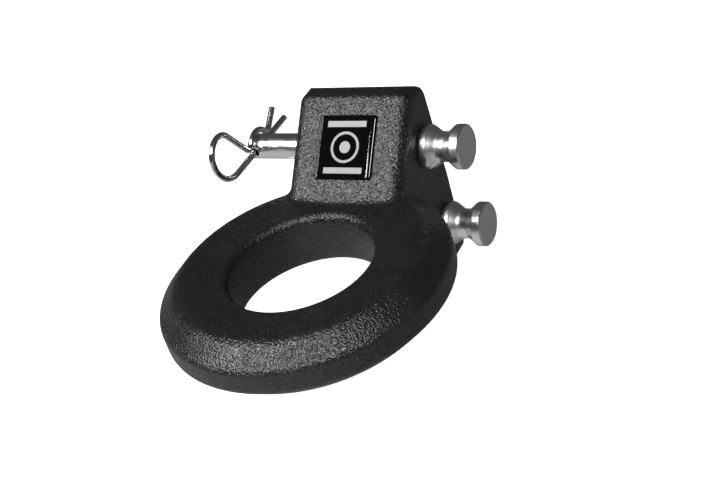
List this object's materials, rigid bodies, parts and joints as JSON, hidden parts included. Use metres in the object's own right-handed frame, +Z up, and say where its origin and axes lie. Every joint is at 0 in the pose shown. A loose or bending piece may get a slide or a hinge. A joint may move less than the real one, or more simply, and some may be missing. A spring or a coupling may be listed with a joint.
{
  "type": "lunette ring coupling",
  "caption": "Heavy towing eye: a round ring cast on a wedge-faced block that is cross-pinned into an adjustable channel by knobbed pins with wire clips.",
  "frame": {"origin": "centre of the ring's bore, on the ring's middle plane", "axes": "+Z up along the bore's axis, +Y from the ring towards the block, +X along the pins towards their knobs"},
  "size_m": [0.153, 0.2167, 0.1089],
  "materials": {
    "black_coat": "black wrinkle powder coat over forged steel",
    "pin_steel": "bright zinc plated, turned",
    "knob_metal": "satin clear-anodised, turned",
    "clip_wire": "bright zinc plated wire",
    "adhesive_foam": "black foam tape",
    "badge_black": "gloss black print",
    "badge_silver": "satin silver foil",
    "badge_resin": "clear domed resin"
  },
  "bodies": {
    "casting": {"lunette_casting": "black_coat", "badge_adhesive": "adhesive_foam", "badge_plate": "badge_black", "badge_emblem": "badge_silver", "badge_dome": "badge_resin"},
    "upper_pin": {"upper_pin_shaft": "pin_steel", "upper_pin_knob": "knob_metal"},
    "lower_pin": {"lower_pin_shaft": "pin_steel", "lower_pin_knob": "knob_metal"},
    "upper_clip": {"upper_clip": "clip_wire"},
    "lower_clip": {"lower_clip": "clip_wire"}
  },
  "joints": [
    {"name": "upper_pin_slide", "type": "slide", "parent": "casting", "child": "upper_pin", "axis": [1, 0, 0], "range_m": [0, 0.028]},
    {"name": "upper_clip_rock", "type": "hinge", "parent": "upper_pin", "child": "upper_clip", "pos_m": [-0.07035, 0.0922, 0.0217], "axis": [0, 1, 0], "range_deg": [-4, 4]},
    {"name": "lower_pin_slide", "type": "slide", "parent": "casting", "child": "lower_pin", "axis": [1, 0, 0], "range_m": [0, 0.028]},
    {"name": "lower_clip_rock", "type": "hinge", "parent": "lower_pin", "child": "lower_clip", "pos_m": [-0.07035, 0.0922, -0.0278], "axis": [0, -0.9848, -0.1736], "range_deg": [-4, 4]}
  ]
}
